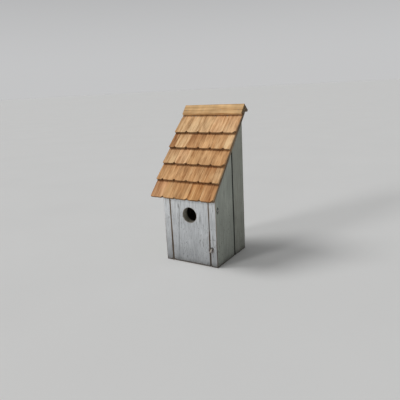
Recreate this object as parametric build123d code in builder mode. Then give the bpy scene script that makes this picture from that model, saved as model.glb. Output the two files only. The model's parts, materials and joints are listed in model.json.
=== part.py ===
from build123d import *
from math import cos, radians, sin, tan
import os

# Birdhouse with a steep shed roof, a pivoting front door and a turn hook.
# Frame: +Z up, front face towards -Y, origin at the centre of the base footprint. Millimetres.

# ---- Driving dimensions ----
WIDTH = 150.0            # across the two side walls
DEPTH = 152.0            # front face to back face
BOARD = 19.0             # thickness of every wall board, 3/4 inch
EASE = 0.8               # rounding on the long edges of the boards

GROOVE_FROM_FRONT = 91.5 # joint between the two boards of each side wall
GROOVE_DEPTH = 3.5       # each board's chamfer, which makes a V as deep as it is half wide

PITCH = 48.0             # roof slope above the horizontal, degrees
EAVE_OUT = 31.0          # lowest shingle butt ahead of the front face, on the deck's top face
EAVE_Z = 172.7           # height of that butt line
ROOF_W = 174.0           # width over the shingles
DECK_W = 172.0
DECK_T = 8.0
DECK_SETBACK = 5.0       # the lowest shingles run past the deck's front end
RIDGE_RUN = 275.0        # along the slope from the lowest butt to the ridge

COURSES = 5
ACROSS = 5               # full shingles in an odd course; an even one has a half at each end
EXPOSURE = 46.7
SHINGLE_L = 66.0
BUTT_T = 6.5
HEAD_T = 2.0
JOINT_GAP = 0.6
CORNER_CLIP = 3.0        # clipped corners at each shingle's butt

CAP_W = 30.0             # front ridge cap, along the slope
CAP_T = 6.5
CAP_LIFT = 3.2           # underside of the front cap above the deck, where it sits on the top course
REAR_CAP_W = 19.0

HOLE_R = 19.05           # entrance hole, 1 1/2 inch across
HOLE_X = 1.0
HOLE_Z = 127.0
DOOR_GAP_LEFT = 2.0
DOOR_GAP_RIGHT = 1.2
DOOR_TOP = 189.0
DOOR_LIFT = 1.0          # the door hangs this far clear of what the house stands on
FLOOR_GAP = 1.2          # between the door's back and the floor board

PIVOT_IN = 10.0          # pivot axis behind the front face
PIVOT_Z = 143.0
PIVOT_R = 1.7
PIVOT_L = 48.0
PIVOT_HEAD_R = 3.6
PIVOT_HEAD_T = 1.2       # the head stands this far proud of the side wall
RUN_CLEARANCE = 0.08     # radial, where a pin turns in wood

LATCH_X = 61.7
LATCH_Z = 48.6
LATCH_R = 1.4
LATCH_STAND_OFF = 4.6    # arm's centre line in front of the front face
LATCH_ARM = 10.0         # shank axis to the centre of the arm's round tip
LATCH_BEND = 2.6
LATCH_IN = 15.0
LATCH_ANGLE = 62.0       # arm below the horizontal, pointing left, turned just clear of the door
LATCH_END_R = 1.26       # rounding of the wire's two ends

DRAIN_R = 3.2
DRAIN_SPACING_X = 80.0
DRAIN_SPACING_Y = 76.0

NAIL_R = 1.1
NAIL_HEAD_R = 2.4
NAIL_HEAD_T = 0.9
NAIL_L = 38.0
BRAD_R = 0.6
BRAD_HEAD_R = 1.1
BRAD_HEAD_T = 0.6
BRAD_L = 10.0
CAP_BRAD_L = 16.0
NAIL_CLEARANCE = 0.05

FLOOR_NAILS_FROM_FRONT = (40.0, 78.0, 123.0)     # through the side walls into the floor
FLOOR_NAILS_ACROSS = (-30.0, 30.0)               # through the back board into the floor
BACK_NAIL_HEIGHTS = (24.0, 114.0, 204.0, 294.0)  # through the side walls into the back board
DECK_NAILS_UP = (70.0, 130.0, 192.0, 222.0)      # along the slope, into the tops of the side walls
BRAD_UP = 8.0            # shingle brads sit this far above the next course's butt line, which hides them
BRAD_IN = 5.0            # and this far in from the shingle's edges
BRAD_SINK = 0.3          # head below the shingle's sloping face
CAP_BRADS_ACROSS = (-75.0, -25.0, 25.0, 75.0)
CAP_BRAD_UP = 12.0       # above the front cap's lower edge
CAP_BRAD_DOWN = 7.0      # below the underside of the front cap, in the rear cap

# ---- Places worked out from them ----
FRONT = -DEPTH / 2
BACK = DEPTH / 2
OUTER = WIDTH / 2
INNER = OUTER - BOARD
GROOVE_Y = FRONT + GROOVE_FROM_FRONT
DOOR_LEFT = -INNER + DOOR_GAP_LEFT
DOOR_RIGHT = INNER - DOOR_GAP_RIGHT
FLOOR_FRONT = FRONT + BOARD + FLOOR_GAP
BACK_INNER = BACK - BOARD
PIVOT_Y = FRONT + PIVOT_IN

UP_SLOPE = Vector(0, cos(radians(PITCH)), sin(radians(PITCH)))
OFF_SLOPE = Vector(0, -sin(radians(PITCH)), cos(radians(PITCH)))
EAVE = Vector(0, FRONT - EAVE_OUT, EAVE_Z)
ROOF = Plane(origin=EAVE, x_dir=(1, 0, 0), z_dir=OFF_SLOPE)     # x across, y up the slope
SECTION = Plane(origin=EAVE, x_dir=UP_SLOPE, z_dir=(1, 0, 0))   # x up the slope, y off the deck

os.makedirs("parts", exist_ok=True)


def save(piece, name):
    piece.part.label = name
    export_step(piece.part, f"parts/{name}.step")


def deck_underside(y):
    """Height of the deck's lower face above a point y in the frame."""
    return EAVE_Z + (y - EAVE.Y) * tan(radians(PITCH)) - DECK_T / cos(radians(PITCH))


def roof_point(across, up, off):
    """A place on the roof: across it, up the slope and off the deck's top face."""
    return ROOF.from_local_coords(Vector(across, up, off))


def pointed_pin(radius, length, head_radius, head_thickness):
    """A nail that hangs down from the origin, with the top of its flat head at z = 0."""
    point = 2 * radius
    with BuildPart() as pin:
        with BuildSketch(Plane.XZ):
            with BuildLine():
                Polyline(
                    (0, 0),
                    (head_radius, 0),
                    (head_radius, -head_thickness),
                    (radius, -head_thickness),
                    (radius, point - length),
                    (0, -length),
                    close=True,
                )
            make_face()
        revolve(axis=Axis.Z)
    return pin.part


def driven(place, towards):
    """Location of a fastener whose head is at place and whose point goes towards the given way."""
    return Plane(origin=place, z_dir=-Vector(*towards)).location


def nail_group(name, pin, places):
    with BuildPart() as group:
        with Locations(*places):
            add(pin)
    save(group, name)


# ---- Fasteners and where they go ----
nail = pointed_pin(NAIL_R, NAIL_L, NAIL_HEAD_R, NAIL_HEAD_T)
brad = pointed_pin(BRAD_R, BRAD_L, BRAD_HEAD_R, BRAD_HEAD_T)
cap_brad = pointed_pin(BRAD_R, CAP_BRAD_L, BRAD_HEAD_R, BRAD_HEAD_T)
pivot_nail = pointed_pin(PIVOT_R, PIVOT_L, PIVOT_HEAD_R, PIVOT_HEAD_T)

floor_middle = BOARD / 2
floor_nail_places = []
for from_front in FLOOR_NAILS_FROM_FRONT:
    floor_nail_places.append(driven((OUTER, FRONT + from_front, floor_middle), (-1, 0, 0)))
    floor_nail_places.append(driven((-OUTER, FRONT + from_front, floor_middle), (1, 0, 0)))
for across in FLOOR_NAILS_ACROSS:
    floor_nail_places.append(driven((across, BACK, floor_middle), (0, -1, 0)))

back_nail_places = []
for height in BACK_NAIL_HEIGHTS:
    back_nail_places.append(driven((OUTER, BACK - BOARD / 2, height), (-1, 0, 0)))
    back_nail_places.append(driven((-OUTER, BACK - BOARD / 2, height), (1, 0, 0)))

wall_middle = OUTER - BOARD / 2
deck_nail_places = []
for up in DECK_NAILS_UP:
    for across in (-wall_middle, wall_middle):
        deck_nail_places.append(driven(roof_point(across, up, 0), -OFF_SLOPE))

pivot_places = [
    driven((OUTER + PIVOT_HEAD_T, PIVOT_Y, PIVOT_Z), (-1, 0, 0)),
    driven((-OUTER - PIVOT_HEAD_T, PIVOT_Y, PIVOT_Z), (1, 0, 0)),
]


def nail_holes(places):
    """Pilot holes and head recesses for the nails at these places."""
    with Locations(*places):
        Hole(radius=NAIL_R + NAIL_CLEARANCE, depth=NAIL_L + NAIL_CLEARANCE)
        Hole(radius=NAIL_HEAD_R + NAIL_CLEARANCE, depth=NAIL_HEAD_T)


def brad_holes(places, length):
    with Locations(*places):
        Hole(radius=BRAD_R + NAIL_CLEARANCE, depth=length + NAIL_CLEARANCE)
        Hole(radius=BRAD_HEAD_R + NAIL_CLEARANCE, depth=BRAD_HEAD_T)


# ---- Side walls: two boards each, chamfered where they meet ----
def side_board(name, side, y_front, y_back, chamfered_y):
    """One board of a side wall. side is +1 for the wall at +X and -1 for the one at -X."""
    inside = INNER if side > 0 else -OUTER
    with BuildPart() as board:
        with BuildSketch(Plane.YZ.offset(inside)):
            with BuildLine():
                Polyline(
                    (y_front, 0),
                    (y_back, 0),
                    (y_back, deck_underside(y_back)),
                    (y_front, deck_underside(y_front)),
                    close=True,
                )
            make_face()
        extrude(amount=BOARD)
        outer_face = board.faces().sort_by(Axis.X)[-1 if side > 0 else 0]
        upright = outer_face.edges().filter_by(Axis.Z).sort_by(Axis.Y)
        groove_edge = upright[0] if chamfered_y == y_front else upright[-1]
        chamfer(groove_edge, length=GROOVE_DEPTH)
        outer_face = board.faces().sort_by(Axis.X)[-1 if side > 0 else 0]
        upright = outer_face.edges().filter_by(Axis.Z).sort_by(Axis.Y)
        corner_edge = upright[-1] if chamfered_y == y_front else upright[0]
        fillet(corner_edge, radius=EASE)
        nail_holes(floor_nail_places + back_nail_places + deck_nail_places)
        with Locations(*pivot_places):
            Hole(radius=PIVOT_R + NAIL_CLEARANCE, depth=PIVOT_L)
        if side > 0:
            with Locations(driven((LATCH_X, FRONT, LATCH_Z), (0, 1, 0))):
                Hole(radius=LATCH_R + RUN_CLEARANCE, depth=LATCH_IN + 1)
    save(board, name)


for side, hand in ((1, "right"), (-1, "left")):
    side_board(f"side_board_front_{hand}", side, FRONT, GROOVE_Y, GROOVE_Y)
    side_board(f"side_board_rear_{hand}", side, GROOVE_Y, BACK, GROOVE_Y)

# ---- Back board, between the side walls ----
with BuildPart() as back_board:
    with BuildSketch(Plane.YZ.offset(-INNER)):
        with BuildLine():
            Polyline(
                (BACK_INNER, 0),
                (BACK, 0),
                (BACK, deck_underside(BACK)),
                (BACK_INNER, deck_underside(BACK_INNER)),
                close=True,
            )
        make_face()
    extrude(amount=2 * INNER)
    nail_holes(floor_nail_places + back_nail_places)
save(back_board, "back_board")

# ---- Floor board with four drain holes ----
with BuildPart() as floor_board:
    with BuildSketch():
        with Locations((0, (FLOOR_FRONT + BACK_INNER) / 2)):
            Rectangle(2 * INNER, BACK_INNER - FLOOR_FRONT)
            with GridLocations(DRAIN_SPACING_X, DRAIN_SPACING_Y, 2, 2):
                Circle(DRAIN_R, mode=Mode.SUBTRACT)
    extrude(amount=BOARD)
    nail_holes(floor_nail_places)
save(floor_board, "floor_board")

# ---- Front door with the entrance hole, which turns on two nails ----
with BuildPart() as front_door:
    with BuildSketch(Plane.XZ.offset(-FRONT)):
        with Locations(((DOOR_LEFT + DOOR_RIGHT) / 2, (DOOR_LIFT + DOOR_TOP) / 2)):
            Rectangle(DOOR_RIGHT - DOOR_LEFT, DOOR_TOP - DOOR_LIFT)
        with Locations((HOLE_X, HOLE_Z)):
            Circle(HOLE_R, mode=Mode.SUBTRACT)
    extrude(amount=-BOARD)
    front_face = front_door.faces().sort_by(Axis.Y)[0]
    fillet(front_face.edges().filter_by(Axis.Z), radius=EASE)
    front_face = front_door.faces().sort_by(Axis.Y)[0]
    fillet(front_face.edges().filter_by(GeomType.CIRCLE), radius=EASE)
    with Locations(*pivot_places):
        Hole(radius=PIVOT_R + RUN_CLEARANCE, depth=PIVOT_L + 1)
save(front_door, "front_door")

# ---- Roof deck ----
shingle_butts = []
course_underside = 0.0
for index in range(COURSES):
    course_top = course_underside + BUTT_T
    shingle_butts.append((index * EXPOSURE, course_underside, course_top))
    course_underside = course_top - EXPOSURE * (course_top - HEAD_T) / SHINGLE_L


def shingle_spans(index):
    """Left and right edges of each shingle in a course, with half shingles in every other course."""
    module = ROOF_W / ACROSS
    edges = [-ROOF_W / 2 + module * step for step in range(ACROSS + 1)]
    if index % 2:
        middles = [-ROOF_W / 2 + module * (step + 0.5) for step in range(ACROSS)]
        edges = [-ROOF_W / 2] + middles + [ROOF_W / 2]
    inset = JOINT_GAP / 2
    spans = []
    for left, right in zip(edges, edges[1:]):
        first = left == edges[0]
        last = right == edges[-1]
        spans.append((left + (0 if first else inset), right - (0 if last else inset)))
    return spans


def shingle_brad_places(index, left, right):
    butt, _, top = shingle_butts[index]
    run = EXPOSURE + BRAD_UP
    head_height = top - run * (top - HEAD_T) / SHINGLE_L - BRAD_SINK
    heads = [roof_point(x, butt + run, head_height) for x in (left + BRAD_IN, right - BRAD_IN)]
    return [driven(head, -OFF_SLOPE) for head in heads]


brad_places = []
for index in range(COURSES):
    for left, right in shingle_spans(index):
        brad_places += shingle_brad_places(index, left, right)

cap_top = CAP_LIFT + CAP_T
cap_brad_places = []
for across in CAP_BRADS_ACROSS:
    cap_brad_places.append(driven(roof_point(across, RIDGE_RUN - CAP_W + CAP_BRAD_UP, cap_top), -OFF_SLOPE))
    cap_brad_places.append(driven(roof_point(across, RIDGE_RUN, CAP_LIFT - CAP_BRAD_DOWN), -UP_SLOPE))

deck_end = RIDGE_RUN - CAP_T
with BuildPart() as roof_deck:
    with BuildSketch(ROOF):
        with Locations((0, (DECK_SETBACK + deck_end) / 2)):
            Rectangle(DECK_W, deck_end - DECK_SETBACK)
    extrude(amount=-DECK_T)
    nail_holes(deck_nail_places)
    brad_holes(brad_places, BRAD_L)
    brad_holes(cap_brad_places, CAP_BRAD_L)
save(roof_deck, "roof_deck")


# ---- Tapered shingles, from the eave up and from left to right ----
def shingle(name, index, left, right, clip_left, clip_right):
    butt, underside, top = shingle_butts[index]
    with BuildPart() as piece:
        with BuildSketch(SECTION.offset(left)):
            with BuildLine():
                Polyline(
                    (butt, underside),
                    (butt, top),
                    (butt + SHINGLE_L, HEAD_T),
                    (butt + SHINGLE_L, 0),
                    close=True,
                )
            make_face()
        extrude(amount=right - left)
        square_edges = piece.edges().filter_by(Axis(EAVE, OFF_SLOPE)).sort_by(Axis(EAVE, UP_SLOPE))
        butt_corners = square_edges[:2].sort_by(Axis.X)
        clipped = []
        if clip_left:
            clipped.append(butt_corners[0])
        if clip_right:
            clipped.append(butt_corners[1])
        chamfer(clipped, length=CORNER_CLIP)
        brad_holes(shingle_brad_places(index, left, right), BRAD_L)
    save(piece, name)


for index in range(COURSES):
    spans = shingle_spans(index)
    for column, (left, right) in enumerate(spans, start=1):
        whole = right - left > ROOF_W / ACROSS / 2 + 1
        shingle(
            f"shingle_{index + 1}_{column}",
            index,
            left,
            right,
            clip_left=whole or column > 1,
            clip_right=whole or column < len(spans),
        )

# ---- Ridge caps: one strip down the front slope, one over the deck's back end ----
with BuildPart() as ridge_cap_front:
    with BuildSketch(ROOF.offset(CAP_LIFT)):
        with Locations((0, RIDGE_RUN - CAP_W / 2)):
            Rectangle(ROOF_W, CAP_W)
    extrude(amount=CAP_T)
    long_edges = ridge_cap_front.faces().sort_by(Axis(EAVE, OFF_SLOPE))[-1].edges().filter_by(Axis.X)
    fillet(long_edges, radius=EASE)
    brad_holes(cap_brad_places, CAP_BRAD_L)
save(ridge_cap_front, "ridge_cap_front")

with BuildPart() as ridge_cap_rear:
    with BuildSketch(ROOF.offset(CAP_LIFT)):
        with Locations((0, RIDGE_RUN - CAP_T / 2)):
            Rectangle(ROOF_W, CAP_T)
    extrude(amount=-REAR_CAP_W)
    brad_holes(cap_brad_places, CAP_BRAD_L)
save(ridge_cap_rear, "ridge_cap_rear")

# ---- Nails and brads ----
nail_group("floor_nails", nail, floor_nail_places)
nail_group("back_nails", nail, back_nail_places)
nail_group("deck_nails", nail, deck_nail_places)
nail_group("shingle_brads", brad, brad_places)
nail_group("cap_brads", cap_brad, cap_brad_places)
nail_group("pivot_nails", pivot_nail, pivot_places)

# ---- Square-bend hook that turns in the right wall's front edge ----
arm_dir = Vector(-cos(radians(LATCH_ANGLE)), 0, -sin(radians(LATCH_ANGLE)))
hook_plane = Plane(
    origin=(LATCH_X, FRONT, LATCH_Z),
    x_dir=(0, -1, 0),
    z_dir=Vector(0, -1, 0).cross(arm_dir),
)
with BuildPart() as latch_hook:
    with BuildLine(hook_plane) as hook_path:
        FilletPolyline(
            (-LATCH_IN, 0),
            (LATCH_STAND_OFF, 0),
            (LATCH_STAND_OFF, LATCH_ARM),
            radius=LATCH_BEND,
        )
    with BuildSketch(Plane(origin=hook_path.wire() @ 0, z_dir=hook_path.wire() % 0)):
        Circle(LATCH_R)
    sweep()
    wire_ends = latch_hook.faces().filter_by(GeomType.PLANE)
    fillet(wire_ends.edges(), radius=LATCH_END_R)
save(latch_hook, "latch_hook")
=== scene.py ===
# %% [markdown]
# # A birdhouse of whitewashed boards and split shingles
# The physical model comes first. Every board, shingle and nail of it is already a solid with a name,
# and each rides on one of three bodies: the house, the door and the hook. This script makes the pieces
# that are seen, around those solids and in the same metres, so nothing here needs fitting by eye.

# %% Load the fixed frame
import json
import math
import random

import bmesh
import bpy
from mathutils import Matrix, Vector, noise


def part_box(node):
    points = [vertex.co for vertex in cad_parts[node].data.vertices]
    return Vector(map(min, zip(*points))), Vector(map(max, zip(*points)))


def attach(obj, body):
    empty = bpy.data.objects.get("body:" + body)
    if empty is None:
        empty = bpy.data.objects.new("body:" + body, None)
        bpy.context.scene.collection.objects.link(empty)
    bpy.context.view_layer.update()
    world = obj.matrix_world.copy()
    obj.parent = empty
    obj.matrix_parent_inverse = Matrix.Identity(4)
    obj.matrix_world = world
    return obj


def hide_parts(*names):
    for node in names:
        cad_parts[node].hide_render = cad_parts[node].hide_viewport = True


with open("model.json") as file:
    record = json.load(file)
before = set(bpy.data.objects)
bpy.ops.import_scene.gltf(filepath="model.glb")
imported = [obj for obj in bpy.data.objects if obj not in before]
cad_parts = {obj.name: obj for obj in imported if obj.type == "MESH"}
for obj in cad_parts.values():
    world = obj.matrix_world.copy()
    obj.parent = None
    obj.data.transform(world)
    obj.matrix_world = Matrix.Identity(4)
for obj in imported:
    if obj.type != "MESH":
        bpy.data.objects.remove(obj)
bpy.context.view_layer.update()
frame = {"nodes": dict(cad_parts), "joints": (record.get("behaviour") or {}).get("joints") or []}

scene = bpy.context.scene
MM = 0.001

# %% [markdown]
# ## The camera
# A product view is taken from a little above and to the right of the front, through a fairly long lens,
# so upright boards stay upright. The camera circles a point inside the house. Its turn and rise give the
# direction, and the last angle leans it over by three degrees, as a hand-held camera leans.

# %% Camera
AIM = Vector((-0.01373, -0.0005, 0.145))
TURN, RISE, LEAN = math.radians(32.18), math.radians(14.74), math.radians(-3.07)
STAND_BACK = 1.1233
LENS_MM, FILM_MM = 38.96, 36

towards_eye = Vector((math.sin(TURN) * math.cos(RISE), -math.cos(TURN) * math.cos(RISE), math.sin(RISE)))
lens = bpy.data.cameras.new("camera")
lens.lens = LENS_MM
lens.sensor_width = FILM_MM
eye = bpy.data.objects.new("camera", lens)
eye.location = AIM + towards_eye * STAND_BACK
facing = towards_eye.to_track_quat("Z", "Y").to_matrix()
eye.rotation_euler = (facing @ Matrix.Rotation(LEAN, 3, "Z")).to_euler()
scene.collection.objects.link(eye)
scene.camera = eye
print("camera at", [round(n, 3) for n in eye.location])

# %% [markdown]
# ## Light and floor
# A soft key light stands high to the left, so the roof is brightest and each butt throws a shadow on the
# course below. Under the overhanging eave the door would be dark, so a second, lower light in front fills
# it. Neither reaches the right wall, which stays in shade. The sky fills the rest: it is as pale as the
# floor at the horizon, so the two melt together from any direction, and dimmer overhead. The Standard view
# keeps the colours as they are mixed, where a filmic view would grey them.

# %% Lights, sky and view
HORIZON, OVERHEAD = 0.56, 0.24


def soft_sun(name, comes_from, strength, spread):
    """A wide, even light. comes_from is the way from the house to it, and spread is its size in degrees."""
    light = bpy.data.lights.new(name, "SUN")
    light.energy = strength
    light.angle = math.radians(spread)
    lamp = bpy.data.objects.new(name, light)
    lamp.location = AIM + comes_from.normalized()
    lamp.rotation_euler = comes_from.to_track_quat("Z", "Y").to_euler()
    scene.collection.objects.link(lamp)
    print(name, "light of", strength, "over", spread, "degrees")


soft_sun("key", Vector((-0.55, -0.25, 0.80)), 1.32, 24)
soft_sun("front", Vector((-0.42, -0.84, 0.342)), 0.95, 14)

world = bpy.data.worlds.new("sky")
world.use_nodes = True
nodes, links = world.node_tree.nodes, world.node_tree.links
way_up = nodes.new("ShaderNodeSeparateXYZ")
links.new(nodes.new("ShaderNodeTexCoord").outputs["Generated"], way_up.inputs[0])
fade = nodes.new("ShaderNodeMapRange")
fade.interpolation_type = "SMOOTHSTEP"
for socket, value in (("From Min", 0.04), ("From Max", 0.50), ("To Min", HORIZON), ("To Max", OVERHEAD)):
    fade.inputs[socket].default_value = value
links.new(way_up.outputs["Z"], fade.inputs["Value"])
nodes["Background"].inputs["Color"].default_value = (0.985, 0.99, 1.0, 1)
links.new(fade.outputs["Result"], nodes["Background"].inputs["Strength"])
scene.world = world
scene.view_settings.view_transform = "Standard"

# %% [markdown]
# ## Shader maths in plain expressions
# A finish is a network of nodes, which soon grows hard to read. Here a socket is wrapped in a small class
# that knows plus, minus, times and divide, so that a pattern is written the way it is thought of. The
# finish itself has one method that makes any node, and a few named ones on top of it for wood and paint.

# %% A socket that can be added and multiplied
class Value:
    """An output socket of a finish, with arithmetic."""

    def __init__(self, finish, socket):
        self.finish, self.socket = finish, socket

    def __add__(self, other):
        return self.finish.maths("ADD", self, other)

    def __sub__(self, other):
        return self.finish.maths("SUBTRACT", self, other)

    def __rsub__(self, other):
        return self.finish.maths("SUBTRACT", other, self)

    def __mul__(self, other):
        return self.finish.maths("MULTIPLY", self, other)

    def __truediv__(self, other):
        return self.finish.maths("DIVIDE", self, other)

    def __pow__(self, other):
        return self.finish.maths("POWER", self, other)

    __radd__ = __add__
    __rmul__ = __mul__


# %% A finish and its named patterns
class Finish:
    """A material written as expressions."""

    def __init__(self, name):
        self.material = bpy.data.materials.new(name)
        self.material.use_nodes = True
        self.tree = self.material.node_tree
        self.shader = self.tree.nodes["Principled BSDF"]

    def node(self, kind, settings, inputs, output=0):
        """Any node: its type, its settings, and a value or a link for each socket named."""
        made = self.tree.nodes.new(kind)
        for name, setting in settings.items():
            setattr(made, name, setting)
        for name, value in inputs.items():
            if isinstance(value, Value):
                self.tree.links.new(value.socket, made.inputs[name])
            else:
                made.inputs[name].default_value = value
        return Value(self, made.outputs[output])

    def maths(self, operation, first, second):
        return self.node("ShaderNodeMath", {"operation": operation}, {0: first, 1: second})

    def place(self, turn=0.0, along=(1, 1, 1)):
        """Object coordinates, turned back about X and then stretched along the grain."""
        here = self.node("ShaderNodeTexCoord", {}, {}, "Object")
        inputs = {"Vector": here, "Rotation": (turn, 0, 0), "Scale": along}
        return self.node("ShaderNodeMapping", {"vector_type": "TEXTURE"}, inputs)

    def part(self, vector, axis):
        return self.node("ShaderNodeSeparateXYZ", {}, {0: vector}, "XYZ".index(axis))

    def measure(self, name):
        """A number kept on the piece's vertices."""
        return self.node("ShaderNodeAttribute", {"attribute_name": name}, {}, "Fac")

    def away(self, here, point):
        """Distance from a point."""
        return self.node("ShaderNodeVectorMath", {"operation": "DISTANCE"}, {0: here, 1: point}, "Value")

    def mottle(self, at, fineness, detail=4.0, roughness=0.55, shift=0.0):
        """Noise from 0 to 1, with features about 1 / fineness across."""
        inputs = {"Vector": at, "W": shift, "Scale": fineness, "Detail": detail, "Roughness": roughness}
        return self.node("ShaderNodeTexNoise", {"noise_dimensions": "4D"}, inputs)

    def rise(self, value, low, high):
        """0 below low, 1 above high, with a smooth step between; low may be the larger."""
        inputs = {0: value, 1: low, 2: high, 3: 0.0, 4: 1.0}
        return self.node("ShaderNodeMapRange", {"interpolation_type": "SMOOTHSTEP"}, inputs)

    def mix(self, amount, first, second, blend="MIX"):
        settings = {"data_type": "RGBA", "blend_type": blend}
        return self.node("ShaderNodeMix", settings, {0: amount, 6: first, 7: second}, 2)

    def deepen(self, amount, colour, stain):
        """The colour multiplied by a stain, by some amount."""
        return self.mix(amount, colour, stain, "MULTIPLY")

    def shade(self, colour, amount):
        """The colour made darker or lighter by a number."""
        base = colour if isinstance(colour, Value) else colour[:3]
        return self.node("ShaderNodeVectorMath", {"operation": "SCALE"}, {0: base, "Scale": amount})

    def surface(self, colour, roughness, height, depth):
        """Ends the finish: its colour, its roughness, and the relief that its height makes."""
        inputs = {"Height": height, "Distance": depth, "Strength": 1.0}
        relief = self.node("ShaderNodeBump", {}, inputs, "Normal")
        for name, value in (("Base Color", colour), ("Roughness", roughness), ("Normal", relief)):
            if isinstance(value, Value):
                self.tree.links.new(value.socket, self.shader.inputs[name])
            else:
                self.shader.inputs[name].default_value = value
        print("finish", self.material.name, "with", len(self.tree.nodes), "nodes")


def tone(red, green, blue):
    return (red, green, blue, 1.0)


# %% [markdown]
# ## The floor it stands on
# A plain pale sheet, wide enough for its edge never to be seen, with the faintest mottling, so that the
# shadow under the house has something to lie on. It is staged: it belongs to the studio and not to the
# birdhouse.

# %% Studio floor
FLOOR_RADIUS = 60.0
FLOOR_DIM, FLOOR_PALE = tone(0.76, 0.76, 0.75), tone(0.81, 0.81, 0.80)

studio = Finish("studio_floor")
cast = studio.mottle(studio.place(), 3.0)
studio.surface(studio.mix(cast, FLOOR_DIM, FLOOR_PALE), 0.9, cast, 0.0002)
form = bmesh.new()
bmesh.ops.create_circle(form, cap_ends=True, segments=96, radius=FLOOR_RADIUS)
mesh = bpy.data.meshes.new("studio_floor")
form.to_mesh(mesh)
form.free()
mesh.materials.append(studio.material)
studio_floor = bpy.data.objects.new("studio_floor", mesh)
scene.collection.objects.link(studio_floor)
print("floor", 2 * FLOOR_RADIUS, "m across")

# %% [markdown]
# ## Weathered whitewash
# Thin white paint on rough-sawn boards sinks into the saw marks and wears off the high edges. Layer by
# layer, the finish adds upright streaks where the grain shows through, small dark flecks and larger specks,
# brown rubbed edges, paint that has chipped where the hook scrapes, and a near-black ring round each pivot
# nail. It also paints light and shade: it grows darker towards the ground and darker still in a band at the
# foot, partly dirt and partly painted shade; it is painted lighter just under the eave, against the eave's
# shadow; and it has near-black painted shade in the V between two boards and in the hole round the hook's
# shank. How near a point is to an edge of its board is measured on the mesh and kept as "wear", because a
# pattern in space alone can't know where the edges are.

# %% Paint maker
BARE_WOOD = tone(0.085, 0.062, 0.045)
TAN_WOOD = tone(0.300, 0.225, 0.155)
CHIPPED = tone(0.105, 0.072, 0.055)
FOOT_DIRT_SHADE = tone(0.075, 0.070, 0.060)
THIN_PAINT = tone(0.13, 0.12, 0.105)
PIT, SPECK = tone(0.045, 0.042, 0.040), tone(0.060, 0.055, 0.050)
SOCKET_SHADE, PIVOT_RING, GROOVE_SHADE = tone(0.015, 0.013, 0.012), tone(0.022, 0.020, 0.018), tone(0.018, 0.018, 0.016)
HOOK = Vector(frame["joints"][1]["pos_m"])
PIVOT = Vector(frame["joints"][0]["pos_m"])
SCUFF_OFFSET = Vector((-0.0040, 0, -0.0055))
SOCKET_REACH, CHIP_REACH, PIVOT_RING_REACH = 4.2 * MM, 10.5 * MM, 7.8 * MM
print("hook at", [round(n / MM, 1) for n in HOOK], "pivot at", [round(n / MM, 1) for n in PIVOT])


def clouding(finish):
    """Broad soft patches, where the paint went on thicker or thinner."""
    return finish.mottle(finish.place(along=(1, 1, 2.2)), 34.0, 4.0, 0.6)


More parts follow.
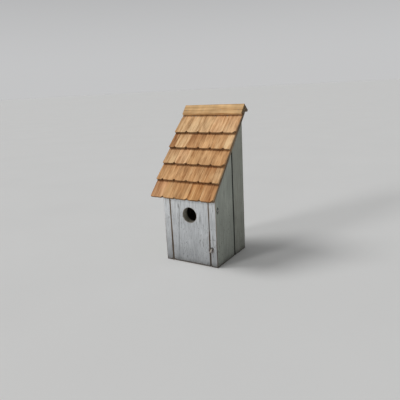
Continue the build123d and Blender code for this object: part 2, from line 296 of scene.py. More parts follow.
def whitewash(name, paint, brightness_at_foot, eave_light_amount, worn):
    """Paint of one tone. Darker down to a given level at the foot, partly dirt, partly painted shade; painted
    lighter under the eave.
    """
    finish = Finish(name)
    here = finish.place()
    sawn = finish.mottle(finish.place(along=(1, 1, 9)), 210.0, 7.0, 0.72)
    threads = finish.mottle(finish.place(along=(1, 1, 20)), 420.0, 4.0, 0.6)
    flecks = finish.mottle(finish.place(along=(1, 1, 3.2)), 520.0, 4.0, 0.66)
    clouds = clouding(finish)
    height = finish.part(here, "Z")
    low_down = finish.rise(height, 0.12, 0.0)

    # Darker towards the ground: partly dirt, partly painted shade.
    low_dirt_and_shade = brightness_at_foot + finish.rise(height, -0.03, 0.105) * (1.0 - brightness_at_foot)
    # Lighter just under the eave: painted light against the shadow the eave casts.
    painted_eave_light = finish.rise(height, 0.095, 0.165) * eave_light_amount
    bare = finish.rise(sawn, 0.51, 0.64) * finish.rise(clouds, 0.38, 0.66) * 0.6
    pits = finish.rise(flecks + (low_down - 0.3) * 0.05, 0.62, 0.70) * finish.rise(clouds, 0.32, 0.60) * 0.8
    rub = finish.measure("wear") + (clouds - 0.5) * 0.6 + (sawn - 0.5) * 0.8 + low_down * 0.16
    edges = finish.rise(rub, 0.68, 0.94) * worn
    # Near-black painted shade in the V between two boards.
    groove_shade = finish.rise(finish.measure("groove") + (sawn - 0.5) * 0.3, 0.22, 0.55)
    specks = finish.rise(finish.mottle(finish.place(along=(1, 1, 2.2)), 300.0, 2.0, 0.5), 0.64, 0.68)
    specks = specks * finish.rise(clouds, 0.40, 0.58) * finish.rise(height, 0.16, 0.11)
    # A darker band at the very foot: partly dirt, partly painted shade.
    dirt_and_shade_at_foot = finish.rise(height + (clouds - 0.5) * 0.03, 0.016, 0.0) * 0.5

    hook_gap = finish.away(here, HOOK) + (sawn - 0.5) * 0.003
    scuffed = finish.away(here, HOOK + SCUFF_OFFSET) + (clouds + flecks * 1.6 - 1.3) * 0.022
    chips = finish.rise(scuffed, CHIP_REACH, CHIP_REACH - 2 * MM) * finish.rise(flecks, 0.42, 0.52)
    # A near-black ring round each pivot nail.
    y_gap, z_gap = finish.part(here, "Y") - PIVOT.y, height - PIVOT.z
    pivot_gap = (y_gap * y_gap * 2.2 + z_gap * z_gap) ** 0.5
    pivot_ring = finish.rise(pivot_gap + (flecks - 0.5) * 0.026, PIVOT_RING_REACH, PIVOT_RING_REACH - MM) * 0.95

    streaks = 1.06 + (clouds - 0.5) * 0.7 + (threads - 0.5) * 1.1
    colour = finish.shade(paint, streaks * (low_dirt_and_shade + painted_eave_light))
    colour = finish.mix(bare, colour, THIN_PAINT)
    colour = finish.mix(pits, colour, PIT)
    colour = finish.mix(specks * 0.7, colour, SPECK)
    colour = finish.mix(edges, colour, finish.mix(finish.rise(height, 0.15, 0.03), TAN_WOOD, BARE_WOOD))
    colour = finish.mix(dirt_and_shade_at_foot, colour, FOOT_DIRT_SHADE)
    colour = finish.mix(chips * 0.9, colour, CHIPPED)
    # Near-black painted shade of the hole round the hook's shank.
    colour = finish.mix(finish.rise(hook_gap, SOCKET_REACH, SOCKET_REACH - 1.2 * MM), colour, SOCKET_SHADE)
    colour = finish.mix(pivot_ring, colour, PIVOT_RING)
    colour = finish.mix(groove_shade, colour, GROOVE_SHADE)
    relief = sawn * 0.8 + threads * 0.3 - finish.rise(flecks, 0.58, 0.66) * 0.6 - edges * 0.3 - chips * 0.4
    return finish, colour, relief


# %% Whitewash for the front edges and for the walls
front_paint, colour, relief = whitewash("whitewash_front", tone(0.475, 0.490, 0.500), 0.46, 0.34, 0.9)
front_paint.surface(colour, 0.86, relief, 0.0008)

# The walls carry the front's whitewash painted darker as shade and greener as a painted reflection.
side_paint_shade_and_reflection, colour, relief = whitewash("whitewash_side_shade_and_reflection", tone(0.315, 0.335, 0.295), 0.84, 0.12, 0.95)
side_paint_shade_and_reflection.surface(colour, 0.88, relief, 0.0014)

# The rear boards carry the same paint, darker still as painted shade and green as a painted reflection.
rear_paint_shade_and_reflection, colour, relief = whitewash("whitewash_rear_shade_and_reflection", tone(0.280, 0.290, 0.250), 0.84, 0.16, 0.9)
rear_paint_shade_and_reflection.surface(colour, 0.88, relief, 0.0014)

# %% [markdown]
# ## Bare wood
# Inside the house, under it and in the entrance hole the boards were never painted. Dry pine has broad
# soft bands with fine dark lines between them, all running with the grain, and greys with age.

# %% Bare board wood
def bare_wood(name, pale, dark, along, turn=0.0):
    finish = Finish(name)
    bands = finish.mottle(finish.place(turn, along), 95.0, 3.0, 0.5)
    fibre = finish.mottle(finish.place(turn, along), 900.0, 5.0, 0.6)
    stain = finish.mottle(finish.place(turn), 30.0, 4.0, 0.6)
    colour = finish.mix(finish.rise(bands * 0.6 + fibre * 0.5, 0.40, 0.72), pale, dark)
    colour = finish.shade(colour, 0.72 + stain * 0.55)
    finish.surface(colour, 0.82, bands * 0.3 + fibre * 0.7, 0.0005)
    return finish


raw_pine = bare_wood("raw_pine", tone(0.36, 0.28, 0.20), tone(0.19, 0.135, 0.09), (1, 1, 16))
hole_wood = bare_wood("hole_wood", tone(0.44, 0.42, 0.35), tone(0.27, 0.25, 0.20), (1, 1, 10))
floor_pine = bare_wood("floor_pine", tone(0.33, 0.265, 0.19), tone(0.17, 0.125, 0.085), (16, 1, 1))

# %% [markdown]
# ## Split shingles
# Every shingle comes from a different billet, so each has its own tone and its own run of grain. The tone
# is a colour kept on the shingle's vertices, and "shift" moves it to another part of the same noise. The
# grain climbs the slope, so the pattern is turned back by the roof's pitch and drawn out a long way along
# it. The dark bands are stained rather than only dimmed, because this wood darkens towards orange.
# "climb" is 0 at the butt and 1 where the next course begins: the upper part grows darker, partly
# weathering and partly painted shade, and just below each butt is a painted shadow with some dirt.

# %% Shingle faces and shingle ends
rear_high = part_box("side_board_rear_right")[1]
front_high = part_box("side_board_front_right")[1]
PITCH = math.atan2(rear_high.z - front_high.z, rear_high.y - front_high.y)
print("roof pitch", round(math.degrees(PITCH), 2), "degrees")
PALE_STREAK, WARM_STAIN, DARK_LINE = tone(0.80, 0.56, 0.30), tone(0.87, 0.70, 0.53), tone(0.62, 0.43, 0.27)
WEATHER_AND_SHADE, BUTT_SHADOW_AND_DIRT = tone(0.80, 0.70, 0.62), tone(0.36, 0.25, 0.17)


def split_wood(name, along, fineness, darkness, tinted=True, own=tone(0.4, 0.25, 0.13)):
    finish = Finish(name)
    here = finish.place(PITCH, along)
    shift = finish.measure("shift") if tinted else 0.0
    climb = finish.measure("climb")
    grain = finish.mottle(here, fineness, 4.0, 0.65, shift)
    lines = finish.mottle(here, fineness * 2.2, 3.0, 0.6, shift)
    bands = finish.mottle(here, fineness * 0.45, 3.0, 0.55, shift)
    broad = finish.mottle(finish.place(PITCH, (1, 2.5, 1)), 60.0, 3.0, 0.5, shift)
    wood = finish.node("ShaderNodeAttribute", {"attribute_name": "tint"}, {}, "Color") if tinted else own
    strength = 1.0 - (grain - 0.5) * 1.0 - (bands - 0.5) * 1.1 + (broad - 0.5) * 0.9
    colour = finish.shade(wood, strength * darkness)
    pale = finish.rise(bands, 0.45, 0.33) * 0.45
    warm = finish.rise(bands * 0.5 + grain * 0.5, 0.46, 0.60) * 0.75
    lined = finish.rise(lines * 0.5 + grain * 0.5, 0.56, 0.63) * 0.6
    colour = finish.mix(pale, colour, finish.shade(PALE_STREAK, darkness))
    colour = finish.deepen(warm, colour, WARM_STAIN)
    colour = finish.deepen(lined, colour, DARK_LINE)
    # Darker towards the next butt: partly weathering, partly painted shade.
    colour = finish.deepen(finish.rise(climb, 0.35, 0.95) * 0.5, colour, WEATHER_AND_SHADE)
    # Just below each butt: painted shadow, with some dirt.
    butt_shadow_and_dirt = finish.rise(climb + (grain - 0.5) * 0.10, 0.89, 0.98)
    colour = finish.deepen(butt_shadow_and_dirt * 0.85, colour, BUTT_SHADOW_AND_DIRT)
    finish.shader.inputs["Specular IOR Level"].default_value = 0.25
    finish.surface(colour, 0.80, grain * 0.6 + lines * 0.35 + bands * 0.2, 0.0008)
    return finish


shingle_face = split_wood("shingle_face", (1, 26, 1), 240.0, 1.0)
# Ends are darker: end grain is darker than the face, and the rest is painted shade.
end_grain_and_shade = split_wood("end_grain_and_shade", (1, 2, 1), 700.0, 0.42)
cap_wood = split_wood("cap_wood", (26, 1, 1), 240.0, 1.0)
deck_wood = split_wood("deck_wood", (1, 16, 1), 420.0, 1.0, False, tone(0.20, 0.155, 0.11))

# %% [markdown]
# ## Metal
# The nails were driven before the boards were painted, so their heads carry thin paint over rust. The hook
# and the pivots are plain wire that has dulled: grey with brown freckles.

# %% Nail and wire finishes
def aged_metal(name, clean, rust, rusted, metallic):
    finish = Finish(name)
    freckles = finish.mottle(finish.place(), 700.0, 5.0, 0.65)
    film = finish.mottle(finish.place(), 160.0, 3.0, 0.5)
    spots = finish.rise(freckles * 0.6 + film * 0.4, 1.0 - rusted, 1.15 - rusted)
    finish.tree.links.new((metallic - spots * metallic).socket, finish.shader.inputs["Metallic"])
    finish.surface(finish.mix(spots, clean, rust), 0.42 + spots * 0.4, freckles, 0.0002)
    return finish


nail_head = aged_metal("nail_head", tone(0.30, 0.30, 0.28), tone(0.075, 0.05, 0.038), 0.52, 0.35)
pivot_metal = aged_metal("pivot_metal", tone(0.33, 0.33, 0.32), tone(0.10, 0.06, 0.04), 0.50, 0.8)
hook_metal = aged_metal("hook_metal", tone(0.52, 0.48, 0.42), tone(0.20, 0.13, 0.09), 0.44, 0.6)

# %% [markdown]
# ## Working a board
# Every wooden piece is made the same way as at a bench: an outline is pushed out to its thickness, the
# sharp edges are eased, and then the surface is given its saw marks. For the saw marks the mesh is first
# cut into fine strips, and each vertex sinks a little into the wood by a noise that is drawn out along the
# grain. It only ever sinks, so a piece never grows past the solid it stands for.

# %% Outline, easing and strips
def verts_of(parts):
    """The vertices that an operator made."""
    return [part for part in parts if isinstance(part, bmesh.types.BMVert)]


def edges_of(parts):
    """The edges that an operator made."""
    return [part for part in parts if isinstance(part, bmesh.types.BMEdge)]


def push_out(corners, thickness):
    """A prism: a flat outline and the vector it is pushed along."""
    form = bmesh.new()
    face = form.faces.new([form.verts.new(corner) for corner in corners])
    grown = bmesh.ops.extrude_face_region(form, geom=[face])["geom"]
    bmesh.ops.translate(form, verts=verts_of(grown), vec=thickness)
    bmesh.ops.recalc_face_normals(form, faces=form.faces)
    return form


def ease(form, edges, size, segments=2):
    bmesh.ops.bevel(form, geom=edges, affect="EDGES", offset=size, segments=segments, profile=0.5,
                    material=-1)


def sharp_edges(form, least=0.5):
    return [edge for edge in form.edges if len(edge.link_faces) == 2 and edge.calc_face_angle() > least]


def slice_up(form, axis, step):
    """Cuts the form into strips of about one step, square to an axis."""
    low = min(vert.co.dot(axis) for vert in form.verts)
    high = max(vert.co.dot(axis) for vert in form.verts)
    count = max(1, round((high - low) / step))
    for cut in range(1, count):
        place = axis * (low + (high - low) * cut / count)
        everything = form.verts[:] + form.edges[:] + form.faces[:]
        bmesh.ops.bisect_plane(form, geom=everything, dist=1e-6, plane_co=place, plane_no=axis)


# %% Saw marks and wear
ACROSS, DEEP, UP = Vector((1, 0, 0)), Vector((0, 1, 0)), Vector((0, 0, 1))
SAWN, MARKS = (1, 1, 11), 480


def roughen(form, depth, grain, fineness, shift, only=None):
    """Sinks the surface by up to depth, with marks drawn out by grain. It may sink only along one way."""
    form.normal_update()
    for vert in form.verts:
        at = Vector((vert.co.x / grain[0], vert.co.y / grain[1], vert.co.z / grain[2])) * fineness
        mark = noise.noise(at + Vector((shift, shift * 0.37, 0)))
        swell = noise.noise(at * 0.21 + Vector((0, shift, 3.1)))
        inwards = vert.normal if only is None else only * vert.normal.dot(only)
        vert.co -= inwards * depth * (0.5 + 0.35 * mark + 0.3 * swell)


def six_sides(low, high):
    """The sides of a box, each a point on it and the way it faces."""
    return [(corner, way) for way in (ACROSS, DEEP, UP) for corner in (low, high)]


def keep_wear(form, sides, reach=6 * MM):
    """Keeps on each vertex how near it is to the meeting of two sides, from 0 to 1."""
    layer = form.verts.layers.float.new("wear")
    for vert in form.verts:
        gaps = sorted(abs((vert.co - point).dot(normal)) for point, normal in sides)
        vert[layer] = max(0.0, 1.0 - gaps[1] / reach)


def keep_groove(form, joint_y, outer_x, reach):
    """Keeps on each vertex how deep it lies in the V between two boards, from 0 to 1."""
    layer = form.verts.layers.float.new("groove")
    for vert in form.verts:
        on_face = abs(vert.co.x - outer_x) < 1.2 * reach
        vert[layer] = max(0.0, 1.0 - abs(vert.co.y - joint_y) / reach) if on_face else 0.0


# %% Turning a form into a piece
SMOOTH_UNDER = math.radians(38)


def take_in(group, form):
    """Adds one form to another."""
    carrier = bpy.data.meshes.new("carrier")
    form.to_mesh(carrier)
    form.free()
    group.from_mesh(carrier)
    bpy.data.meshes.remove(carrier)


def new_piece(node, form, body, finishes):
    """The finished object. It rides on a body and stands for its CAD node."""
    name = "seen_" + node
    mesh = bpy.data.meshes.new(name)
    form.to_mesh(mesh)
    form.free()
    for polygon in mesh.polygons:
        polygon.use_smooth = True
    mesh.set_sharp_from_angle(angle=SMOOTH_UNDER)
    for finish in finishes:
        mesh.materials.append(finish.material)
    piece = bpy.data.objects.new(name, mesh)
    scene.collection.objects.link(piece)
    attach(piece, body)
    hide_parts(node)
    print(name, "faces", len(mesh.polygons), "on", body)


# %% [markdown]
# ## The side boards
# Each side wall is two boards side by side. Where they meet, both have their outer edge planed off, which
# leaves an upright V. The tops follow the roof. A board is therefore a four-cornered outline with a slanting
# top, pushed out by the board's thickness; the V is one wide bevel on one edge.

# %% Side boards
GROOVE = 3.5 * MM
EASED = 1.0 * MM
STRIP, STRIP_TALL = 2.2 * MM, 9.0 * MM
SAW_DEPTH = 0.35 * MM


def wall_top(depth):
    """Height of the wall's slanting top at a distance back."""
    return front_high.z + (depth - front_high.y) * math.tan(PITCH)


def wall_outline(low, high):
    """A wall board seen from the side, with its slanting top."""
    return [(low.y, low.z), (high.y, low.z), (high.y, wall_top(high.y)), (low.y, wall_top(low.y))]


def side_board(name, side, shift):
    """One board of a side wall. side is 1 on the right and -1 on the left."""
    low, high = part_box(name)
    outer_x = high.x if side > 0 else low.x
    inner_x = low.x if side > 0 else high.x
    joint_y = high.y if "front" in name else low.y
    outline = [Vector((inner_x, y, z)) for y, z in wall_outline(low, high)]
    form = push_out(outline, ACROSS * (outer_x - inner_x))

    def at_joint(edge):
        return all(abs(v.co.y - joint_y) < MM and abs(v.co.x - outer_x) < MM for v in edge.verts)

    ease(form, [edge for edge in form.edges if at_joint(edge)], GROOVE, 1)
    ease(form, sharp_edges(form, 0.9), EASED)
    for face in form.faces:
        inside = face.normal.x * side < -0.7
        below = face.normal.z < -0.7
        face.material_index = 1 if inside or below else 0
        if "front" in name and face.normal.y < -0.7:
            face.material_index = 2
    slice_up(form, DEEP, STRIP)
    slice_up(form, ACROSS, STRIP)
    slice_up(form, UP, STRIP_TALL)
    slope = Vector((0, -math.sin(PITCH), math.cos(PITCH)))
    top = (Vector((0, high.y, wall_top(high.y))), slope)
    keep_wear(form, six_sides(low, high)[:5] + [top])
    keep_groove(form, joint_y, outer_x, 5 * MM)
    roughen(form, SAW_DEPTH, SAWN, MARKS, shift)
    outside = side_paint_shade_and_reflection if "front" in name else rear_paint_shade_and_reflection
    new_piece(name, form, "house", [outside, raw_pine, front_paint])


side_board("side_board_front_right", 1, 1.7)
side_board("side_board_rear_right", 1, 5.3)
side_board("side_board_front_left", -1, 9.1)
side_board("side_board_rear_left", -1, 13.9)

# %% [markdown]
# ## The back board
# It stands between the side walls, and its top has the same slant, which is hidden under the deck.

# %% Back board
back_low, back_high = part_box("back_board")
outline = [Vector((back_low.x, y, z)) for y, z in wall_outline(back_low, back_high)]
form = push_out(outline, ACROSS * (back_high.x - back_low.x))
ease(form, sharp_edges(form, 0.9), EASED)
for face in form.faces:
    face.material_index = 1 if face.normal.y < -0.7 or face.normal.z < -0.7 else 0
slice_up(form, ACROSS, STRIP)
slice_up(form, DEEP, 5 * MM)
slice_up(form, UP, STRIP_TALL)
keep_wear(form, six_sides(back_low, back_high))
roughen(form, SAW_DEPTH, SAWN, MARKS, 21.0)
new_piece("back_board", form, "house", [rear_paint_shade_and_reflection, raw_pine])

# %% [markdown]
# ## The floor board
# It lies between the walls with a drain hole near each corner. A hole could be cut with a Boolean, which
# leaves long thin faces. Here the board is four quarters, each a circle grown outwards to a rectangle, as
# the door is further on. The walls between the quarters are taken out and the quarters are merged.

# %% A plate grown round a hole
EDGE_LOOPS = (0.12, 0.35, 1.0)


def plate_round_hole(centre, radius, low_corner, high_corner, right, up, thickness, base, segments):
    """A plate with a round hole. Its corners are given along right and up, and base is added to them."""
    form = bmesh.new()
    bmesh.ops.create_circle(form, segments=segments, radius=radius)
    rim = form.edges[:]
    for share in EDGE_LOOPS:
        rim = edges_of(bmesh.ops.extrude_edge_only(form, edges=rim)["geom"])
        for vert in {vert for edge in rim for vert in edge.verts}:
            way = Vector((vert.co.x, vert.co.y)).normalized()
            wall_x = (high_corner if way.x > 0 else low_corner)[0] - centre[0]
            wall_y = (high_corner if way.y > 0 else low_corner)[1] - centre[1]
            to_wall = min(abs(wall_x) / max(abs(way.x), 1e-9), abs(wall_y) / max(abs(way.y), 1e-9))
            reach = radius + (to_wall - radius) * share
            vert.co.x, vert.co.y = way.x * reach, way.y * reach
    outside = {vert for edge in rim for vert in edge.verts}
    for corner_x in (low_corner[0], high_corner[0]):
        for corner_y in (low_corner[1], high_corner[1]):
            corner = Vector((corner_x - centre[0], corner_y - centre[1], 0))
            nearest = min(outside, key=lambda vert: (vert.co - corner).length)
            nearest.co = corner
    grown = bmesh.ops.extrude_face_region(form, geom=form.faces[:])["geom"]
    bmesh.ops.translate(form, verts=verts_of(grown), vec=UP)
    for vert in form.verts:
        flat = right * (vert.co.x + centre[0]) + up * (vert.co.y + centre[1])
        vert.co = base + flat + thickness * vert.co.z
    bmesh.ops.recalc_face_normals(form, faces=form.faces)
    return form


# %% Floor board
CLEAR_OF_EDGE = 9 * MM
floor_low, floor_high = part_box("floor_board")
middle = (floor_low + floor_high) / 2
drain_verts = [vert.co for vert in frame["nodes"]["floor_board"].data.vertices
               if vert.co.z > floor_high.z - MM
               and floor_low.x + CLEAR_OF_EDGE < vert.co.x < floor_high.x - CLEAR_OF_EDGE
               and floor_low.y + CLEAR_OF_EDGE < vert.co.y < floor_high.y - CLEAR_OF_EDGE]
form = bmesh.new()
for half_x in (-1, 1):
    for half_y in (-1, 1):
        ring = [co for co in drain_verts if (co.x - middle.x) * half_x > 0 and (co.y - middle.y) * half_y > 0]
        west, east = min(co.x for co in ring), max(co.x for co in ring)
        south, north = min(co.y for co in ring), max(co.y for co in ring)
        drain = ((west + east) / 2, (south + north) / 2)
        outer_x, outer_y = (floor_low.x, floor_high.x)[half_x > 0], (floor_low.y, floor_high.y)[half_y > 0]
        corner_low = (min(middle.x, outer_x), min(middle.y, outer_y))
        corner_high = (max(middle.x, outer_x), max(middle.y, outer_y))
        quarter = plate_round_hole(drain, (east - west) / 2, corner_low, corner_high,
                                   ACROSS, DEEP, UP * (floor_high.z - floor_low.z), UP * floor_low.z, 24)
        take_in(form, quarter)
        print("drain hole", round((east - west) / MM, 2), "mm at", [round(n / MM, 1) for n in drain])
seams = []
for face in form.faces:
    centre = face.calc_center_median()
    upright = max(abs(face.normal.x), abs(face.normal.y)) > 0.9
    if upright and (abs(centre.x - middle.x) < 1e-5 or abs(centre.y - middle.y) < 1e-5):
        seams.append(face)
bmesh.ops.delete(form, geom=seams, context="FACES")
slice_up(form, ACROSS, 12 * MM)
slice_up(form, DEEP, 2.5 * MM)
bmesh.ops.remove_doubles(form, verts=form.verts, dist=1e-5)
roughen(form, 0.2 * MM, (11, 1, 1), 420, 33.0)
new_piece("floor_board", form, "house", [floor_pine])

# %% [markdown]
# ## The front door
# One board with the round entrance in it. A circle is grown outwards to the board's rectangle, which keeps
# the hole truly round and leaves no seam. Both rims of the hole and the board's own edges are eased. The
# inside of the hole was cut after painting and shows bare, greyed wood. A long check runs down the board from
# beside the hole, leaning a little to the left, and above it is a dark smudge. Both have no depth to speak
# of, so they are drawn in the finish.

# %% Hole in the door, measured on the solid
door_low, door_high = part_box("front_door")
rim = [vert.co for vert in frame["nodes"]["front_door"].data.vertices
       if vert.co.y > door_high.y - MM
       and door_low.x + 5 * MM < vert.co.x < door_high.x - 5 * MM
       and door_low.z + 5 * MM < vert.co.z < door_high.z - 5 * MM]
hole_low = Vector((min(co.x for co in rim), 0, min(co.z for co in rim)))
hole_high = Vector((max(co.x for co in rim), 0, max(co.z for co in rim)))
HOLE = (hole_low + hole_high) / 2
HOLE_RADIUS = (hole_high.x - hole_low.x) / 2
print("hole", round(2 * HOLE_RADIUS / MM, 2), "mm across at", [round(n / MM, 1) for n in HOLE])

# %% Door finish, with its check
door_paint, colour, relief = whitewash("whitewash_door", tone(0.475, 0.490, 0.502), 0.46, 0.34, 0.95)
here, clouds = door_paint.place(), clouding(door_paint)
across, height = door_paint.part(here, "X"), door_paint.part(here, "Z")
CHECK_FOOT = door_low.x + 15.5 * MM
CHECK_LEAN = 0.0732
SMUDGE = HOLE + Vector((-32 * MM, 0, 21 * MM))
SMUDGE_WIDE, SMUDGE_TALL = 2.6 * MM, 8.0 * MM
CHECK_DARK, SMUDGE_DARK = tone(0.06, 0.05, 0.04), tone(0.07, 0.065, 0.06)
line_x = CHECK_FOOT + height * CHECK_LEAN
wander = (door_paint.mottle(door_paint.place(along=(1, 1, 6)), 160.0) - 0.5) * (3.0 * MM)
gap = door_paint.maths("ABSOLUTE", across - line_x + wander, 0.0)
check = door_paint.rise(gap, 0.9 * MM, 0.15 * MM) * door_paint.rise(height, 0.155, 0.14)
check = check * door_paint.rise(clouds, 0.35, 0.55)
colour = door_paint.mix(check * 0.75, colour, CHECK_DARK)
side_gap = (across - SMUDGE.x) / SMUDGE_WIDE
tall_gap = (height - SMUDGE.z) / SMUDGE_TALL
off_smudge = (side_gap * side_gap + tall_gap * tall_gap) ** 0.5 + (clouds - 0.5) * 2.2
colour = door_paint.mix(door_paint.rise(off_smudge, 1.3, 0.6) * 0.45, colour, SMUDGE_DARK)
door_paint.surface(colour, 0.86, relief - check * 1.2, 0.0008)

# %% Door board
form = plate_round_hole((HOLE.x, HOLE.z), HOLE_RADIUS, (door_low.x, door_low.z), (door_high.x, door_high.z),
                        ACROSS, UP, DEEP * (door_high.y - door_low.y), DEEP * door_low.y, 96)
ease(form, sharp_edges(form, 0.9), EASED)
for face in form.faces:
    centre = face.calc_center_median()
    off_axis = math.hypot(centre.x - HOLE.x, centre.z - HOLE.z)
    in_hole = off_axis < HOLE_RADIUS + 0.3 * MM
    face.material_index = 1 if face.normal.y > 0.7 or abs(face.normal.z) > 0.9 else 0
    if in_hole and abs(face.normal.y) < 0.7:
        face.material_index = 2
slice_up(form, ACROSS, STRIP)
slice_up(form, UP, STRIP_TALL)
slice_up(form, DEEP, 5 * MM)
keep_wear(form, six_sides(door_low, door_high))
layer = form.verts.layers.float["wear"]
for vert in form.verts:
    off_rim = abs(math.hypot(vert.co.x - HOLE.x, vert.co.z - HOLE.z) - HOLE_RADIUS)
    vert[layer] = max(vert[layer], 1.0 - off_rim / (3.5 * MM))
roughen(form, 0.3 * MM, SAWN, MARKS, 41.0)
new_piece("front_door", form, "door", [door_paint, raw_pine, hole_wood])

# %% [markdown]
# ## The roof's own frame
# Everything on the roof is simplest to make lying flat and then tip up by the pitch. `TIP` does that, and
# its inverse lays the solids flat so that their sizes can be read off.

# %% Laying the roof flat
TIP = Matrix.Rotation(PITCH, 4, "X")
FLAT = TIP.inverted()


def flat_points(node):
    return [FLAT @ vert.co for vert in frame["nodes"][node].data.vertices]


def flat_box(node):
    points = flat_points(node)
    low = Vector([min(point[axis] for point in points) for axis in range(3)])
    high = Vector([max(point[axis] for point in points) for axis in range(3)])
    return low, high


print("laid flat by turning back", round(math.degrees(PITCH), 2), "degrees")

# %% [markdown]
# ## The deck
# A thin board under the shingles. Only its edges and its underside are seen, grey-brown and a little fuzzy.

# %% Deck
deck_low, deck_high = flat_box("roof_deck")
west, east, south, north = deck_low.x, deck_high.x, deck_low.y, deck_high.y
corners = ((west, south), (east, south), (east, north), (west, north))
form = push_out([Vector((x, y, deck_low.z)) for x, y in corners], UP * (deck_high.z - deck_low.z))
ease(form, sharp_edges(form), 0.6 * MM)
slice_up(form, ACROSS, 3 * MM)
slice_up(form, DEEP, 14 * MM)
roughen(form, 0.3 * MM, (1, 12, 1), 380, 51.0)
form.verts.layers.float.new("climb")
form.transform(TIP)
new_piece("roof_deck", form, "house", [deck_wood])

# %% [markdown]
# ## The shingles
# Twenty-seven thin wedges, thick at the butt and thin at the head. One function makes them all: the outline
# with clipped butt corners is pushed out, pulled to the wedge's two planes, cut into fine strips and
# given a riven face. Chance, with a fixed seed, sets how far each corner is clipped, how thick each butt is
# and how it is twisted. The tones are chosen by name, shingle by shingle, from the eave to the ridge.

# %% Tones of split wood
WOODS = {
    "rose": tone(0.560, 0.312, 0.155),
    "honey": tone(0.570, 0.325, 0.145),
    "amber": tone(0.560, 0.290, 0.112),
    "umber": tone(0.390, 0.190, 0.075),
    "russet": tone(0.505, 0.265, 0.112),
    "oat": tone(0.615, 0.355, 0.165),
    "grey_oat": tone(0.560, 0.345, 0.175),
    "straw": tone(0.665, 0.425, 0.220),
    "cream": tone(0.730, 0.490, 0.265),
    "peach": tone(0.680, 0.415, 0.215),
}
COURSES = (
    "rose honey honey amber russet",
    "oat oat oat oat russet straw",
    "grey_oat peach honey oat oat",
    "umber straw russet oat oat cream",
    "straw cream straw peach peach",
)
WIDE_CLIPS = ("shingle_1_5", "shingle_3_5", "shingle_5_5")
print(len(WOODS), "tones over", sum(len(woods.split()) for woods in COURSES), "shingles")

# %% One shingle
CLIP, WIDE_CLIP, HARDLY = 3.9 * MM, 6.5 * MM, 0.8 * MM
chance = random.Random(27)


def split_shingle(node, wood, first, last, exposed):
    """One shingle. first and last say that it ends its course, and exposed is how much of it shows."""
    points = flat_points(node)
    low, high = flat_box(node)
    butt = [point.z for point in points if point.y < low.y + MM]
    head = [point.z for point in points if point.y > high.y - MM]
    clip_left = HARDLY if first else CLIP * chance.uniform(0.8, 1.3)
    clip_right = CLIP * chance.uniform(0.8, 1.3)
    if last:
        clip_right = WIDE_CLIP if node in WIDE_CLIPS else HARDLY
    left = low.x + (0.0 if first else chance.uniform(-0.28, -0.05) * MM)
    right = high.x - (0.0 if last else chance.uniform(-0.28, -0.05) * MM)
    outline = [(left, high.y), (left, low.y + clip_left), (left + clip_left, low.y),
               (right - clip_right, low.y), (right, low.y + clip_right), (right, high.y)]
    form = push_out([Vector((x, y, 0)) for x, y in outline], Vector((0, 0, 1)))
    lift, twist = chance.uniform(0, 0.5) * MM, chance.uniform(-0.5, 0.5) * MM
    for vert in form.verts:
        up_slope = (vert.co.y - low.y) / (high.y - low.y)
        side = (vert.co.x - left) / (right - left) - 0.5
        if vert.co.z > 0.5:
            top = max(butt) + (max(head) - max(butt)) * up_slope
            vert.co.z = top - (abs(twist) / 2 + lift + twist * side) * (1 - up_slope)
        else:
            vert.co.z = min(butt) + (min(head) - min(butt)) * up_slope
    ease(form, sharp_edges(form, 0.6), 0.15 * MM)
    for face in form.faces:
        face.material_index = 1 if face.normal.y < -0.5 else 0
    slice_up(form, ACROSS, 1.1 * MM)
    slice_up(form, DEEP, 5.5 * MM)
    slice_up(form, UP, 2.2 * MM)
    shift = chance.uniform(0, 60)
    roughen(form, 0.6 * MM, (1, 16, 1), 420, shift, UP)
    tint = form.verts.layers.float_color.new("tint")
    shifts = form.verts.layers.float.new("shift")
    climbs = form.verts.layers.float.new("climb")
    for vert in form.verts:
        near_butt = max(0.0, 1 - (vert.co.y - low.y) / (6 * MM))
        ragged = 0.5 + 0.5 * noise.noise(Vector((vert.co.x * 260, shift, 0)))
        vert.co.y += near_butt * ragged * 0.9 * MM
        vert[tint] = wood
        vert[shifts] = shift
        vert[climbs] = min(1.0, (vert.co.y - low.y) / exposed)
    form.transform(TIP)
    new_piece(node, form, "house", [shingle_face, end_grain_and_shade])


# %% All twenty-seven
for course, woods in enumerate(COURSES, start=1):
    names = woods.split()
    cover = f"shingle_{course + 1}_1" if course < len(COURSES) else "ridge_cap_front"
    exposed = flat_box(cover)[0].y - flat_box(f"shingle_{course}_1")[0].y
    for column, wood in enumerate(names, start=1):
        split_shingle(f"shingle_{course}_{column}", WOODS[wood], column == 1, column == len(names), exposed)

# %% [markdown]
# ## The ridge caps
# Two strips close the top: one over the heads of the last course, one over the end of the deck. Their grain
# runs along the ridge. Each is a plank with softly eased edges and a riven face, a little hollow here and
# there where the split wandered.

# %% Ridge caps
def ridge_cap(node, wood, shift, size):
    """One strip of the ridge. size is how far its edges are eased."""
    low, high = flat_box(node)
    corners = ((low.y, low.z), (high.y, low.z), (high.y, high.z), (low.y, high.z))
    form = push_out([Vector((low.x, y, z)) for y, z in corners], ACROSS * (high.x - low.x))
    ease(form, sharp_edges(form), size, 3)
    slice_up(form, DEEP, 1.2 * MM)
    slice_up(form, UP, 1.2 * MM)
    slice_up(form, ACROSS, 5 * MM)
    for face in form.faces:
        face.material_index = 1 if abs(face.normal.x) > 0.7 else 0
    roughen(form, 0.55 * MM, (16, 1, 1), 420, shift)
    tint = form.verts.layers.float_color.new("tint")
    shifts = form.verts.layers.float.new("shift")
    form.verts.layers.float.new("climb")
    for vert in form.verts:
        vert[tint] = wood
        vert[shifts] = shift
    form.transform(TIP)
    new_piece(node, form, "house", [cap_wood, end_grain_and_shade])


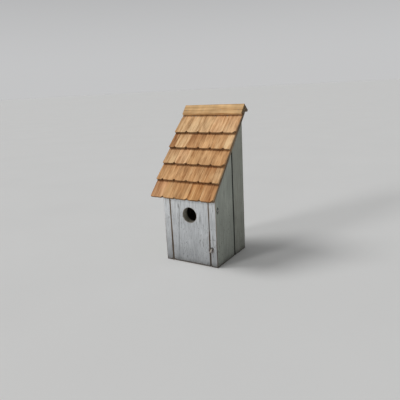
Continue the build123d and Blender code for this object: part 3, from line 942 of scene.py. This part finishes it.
ridge_cap("ridge_cap_front", tone(0.60, 0.385, 0.185), 61.0, 0.9 * MM)
ridge_cap("ridge_cap_rear", tone(0.26, 0.20, 0.145), 67.0, 0.7 * MM)

# %% [markdown]
# ## Nails
# A nail is a turned shape, so its half outline is drawn once and spun about its own axis. The places come
# from the solids: each loose solid in a node is found, its long direction is the nail's axis, and the
# wider end is its head. A driven head is slightly domed and stands level with the wood.

# %% Finding the nails in a node
def solids_in(node, turn):
    """The points of each separate solid in a node, turned by a matrix."""
    form = bmesh.new()
    form.from_mesh(frame["nodes"][node].data)
    form.transform(turn)
    bmesh.ops.remove_doubles(form, verts=form.verts, dist=1e-6)
    waiting, found = set(form.verts), []
    while waiting:
        stack, solid = [waiting.pop()], []
        while stack:
            vert = stack.pop()
            solid.append(vert.co.copy())
            for edge in vert.link_edges:
                other = edge.other_vert(vert)
                if other in waiting:
                    waiting.remove(other)
                    stack.append(other)
        found.append(solid)
    form.free()
    return found


def nail_in(solid):
    """Where a nail's head is, the way its point goes, its length and its head's radius."""
    low = Vector([min(point[axis] for point in solid) for axis in range(3)])
    high = Vector([max(point[axis] for point in solid) for axis in range(3)])
    size = high - low
    axis = max(range(3), key=lambda n: size[n])
    middle = (low + high) / 2
    head_radius = min(size[n] for n in range(3) if n != axis) / 2
    widest = max(solid, key=lambda point: sum((point[n] - middle[n]) ** 2 for n in range(3) if n != axis))
    way = Vector((0, 0, 0))
    way[axis] = -1.0 if widest[axis] > middle[axis] else 1.0
    head = middle.copy()
    head[axis] = high[axis] if way[axis] < 0 else low[axis]
    return head, way, size[axis], head_radius


# %% Spinning nails
def nails(node, finish, shank, proud, turn=Matrix.Identity(4)):
    """All the nails of one node as one piece. proud is how far the head stands out of the wood."""
    group = bmesh.new()
    back = turn.inverted()
    for solid in solids_in(node, turn):
        head, way, length, wide = nail_in(solid)
        dome = wide * 0.28
        head_outline = [(0, 0), (wide * 0.55, dome * 0.22), (wide * 0.88, dome * 0.62), (wide, dome)]
        under_head = [(wide, dome + 0.35 * MM + proud), (shank, dome + 0.6 * MM + proud)]
        profile = head_outline + under_head + [(shank, length - 2 * shank), (0, length)]
        one = bmesh.new()
        verts = [one.verts.new((radius, 0, -down)) for radius, down in profile]
        edges = [one.edges.new(pair) for pair in zip(verts, verts[1:])]
        bmesh.ops.spin(one, geom=verts + edges, cent=(0, 0, 0), axis=UP, steps=20, angle=math.tau,
                       use_merge=True)
        bmesh.ops.remove_doubles(one, verts=one.verts, dist=1e-6)
        bmesh.ops.recalc_face_normals(one, faces=one.faces)
        one.transform(back @ Matrix.Translation(head) @ (-way).to_track_quat("Z", "Y").to_matrix().to_4x4())
        take_in(group, one)
    new_piece(node, group, "house", [finish])


nails("floor_nails", nail_head, 1.1 * MM, 0.0)
nails("back_nails", nail_head, 1.1 * MM, 0.0)
nails("pivot_nails", pivot_metal, 1.7 * MM, 0.2 * MM)
nails("cap_brads", nail_head, 0.6 * MM, 0.0, FLAT)
for hidden in ("deck_nails", "shingle_brads"):
    slots = frame["nodes"][hidden].data.materials
    slots.clear()
    slots.append(nail_head.material)

# %% [markdown]
# ## The hook
# A bent wire with a square turn, screwed into the edge of the right wall. A circle is pushed along the
# shank, spun round the bend and pushed along the arm, and its free end is drawn in to a round tip.

# %% Hook
hook_low, hook_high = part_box("latch_hook")
WIRE = 1.4 * MM
BEND = 2.6 * MM
HANGS = math.radians(62)
arm_way = Vector((-math.cos(HANGS), 0, -math.sin(HANGS)))
arm_front = hook_low.y + WIRE

form = bmesh.new()
bmesh.ops.create_circle(form, segments=20, radius=WIRE)
bmesh.ops.rotate(form, verts=form.verts, cent=(0, 0, 0), matrix=Matrix.Rotation(math.radians(90), 3, "X"))
bmesh.ops.translate(form, verts=form.verts, vec=(HOOK.x, hook_high.y, HOOK.z))


def grow(edges, move, shrink=1.0):
    """Pushes a ring of edges on, and draws it in towards its own middle."""
    ring = edges_of(bmesh.ops.extrude_edge_only(form, edges=edges)["geom"])
    verts = list({vert for edge in ring for vert in edge.verts})
    bmesh.ops.translate(form, verts=verts, vec=move)
    middle = sum((vert.co for vert in verts), Vector()) / len(verts)
    for vert in verts:
        vert.co = middle + (vert.co - middle) * shrink
    return ring


ring = grow(form.edges[:], DEEP * (arm_front + BEND - hook_high.y))
bend_centre = Vector((HOOK.x, arm_front + BEND, HOOK.z)) + arm_way * BEND
ring_verts = list({vert for edge in ring for vert in edge.verts})
turn_axis = (-DEEP).cross(arm_way)
spun = bmesh.ops.spin(form, geom=ring_verts + ring, cent=bend_centre, axis=turn_axis, steps=10,
                      angle=math.radians(90))
reach = max((vert.co - HOOK).dot(arm_way) for vert in frame["nodes"]["latch_hook"].data.vertices)
ring = grow(edges_of(spun["geom_last"]), arm_way * (reach - BEND - WIRE))
for step in range(5):
    before, after = math.radians(15 * step), math.radians(15 * step + 15)
    onward = WIRE * (math.sin(after) - math.sin(before))
    ring = grow(ring, arm_way * onward, math.cos(after) / math.cos(before))
bmesh.ops.remove_doubles(form, verts=form.verts, dist=1e-6)
bmesh.ops.holes_fill(form, edges=[edge for edge in form.edges if edge.is_boundary], sides=40)
bmesh.ops.recalc_face_normals(form, faces=form.faces)
new_piece("latch_hook", form, "hook", [hook_metal])
